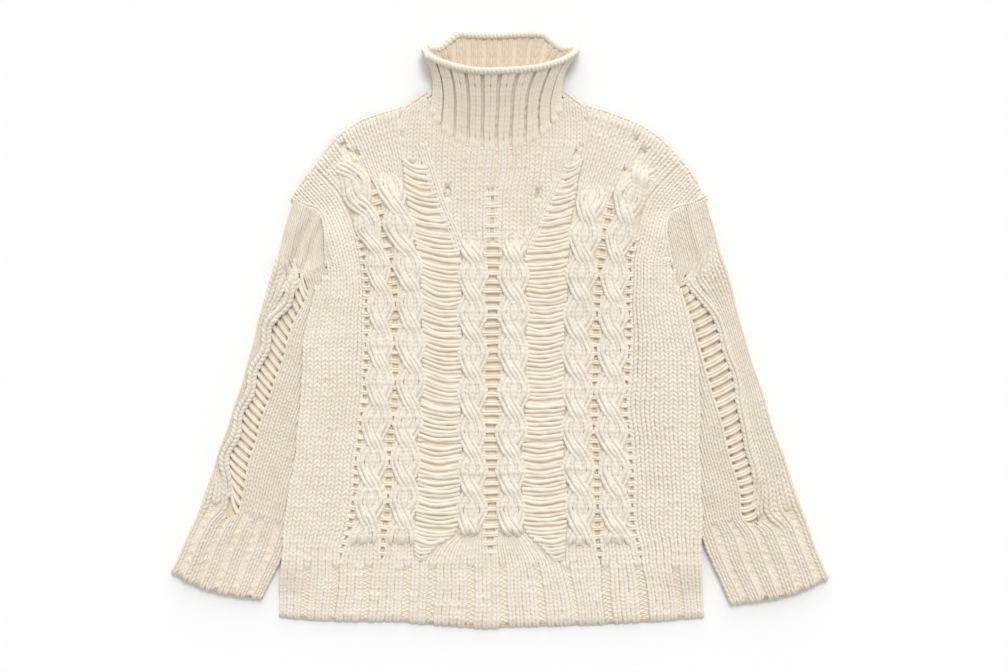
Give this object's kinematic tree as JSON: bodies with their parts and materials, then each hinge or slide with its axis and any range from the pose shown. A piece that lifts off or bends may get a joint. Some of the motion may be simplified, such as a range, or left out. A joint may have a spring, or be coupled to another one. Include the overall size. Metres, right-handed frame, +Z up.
{
  "type": "cable knit sweater",
  "caption": "Chunky cable knit sweater laid flat, with rope cables, open ladders, drop shoulders, long sleeves tucked under the sides and a flared ribbed funnel collar.",
  "frame": {"origin": "under the middle of the whole, on the surface that the sweater lies on", "axes": "+X across the sweater towards the right sleeve as seen from above, +Y from the hem to the collar, +Z up from the surface"},
  "size_m": [0.788, 0.7176, 0.0456],
  "materials": {
    "wool": "matte"
  },
  "bodies": {
    "root": {"front": "wool", "back": "wool", "sleeve_left_front": "wool", "sleeve_left_back": "wool", "sleeve_right_front": "wool", "sleeve_right_back": "wool", "collar": "wool"}
  },
  "joints": []
}
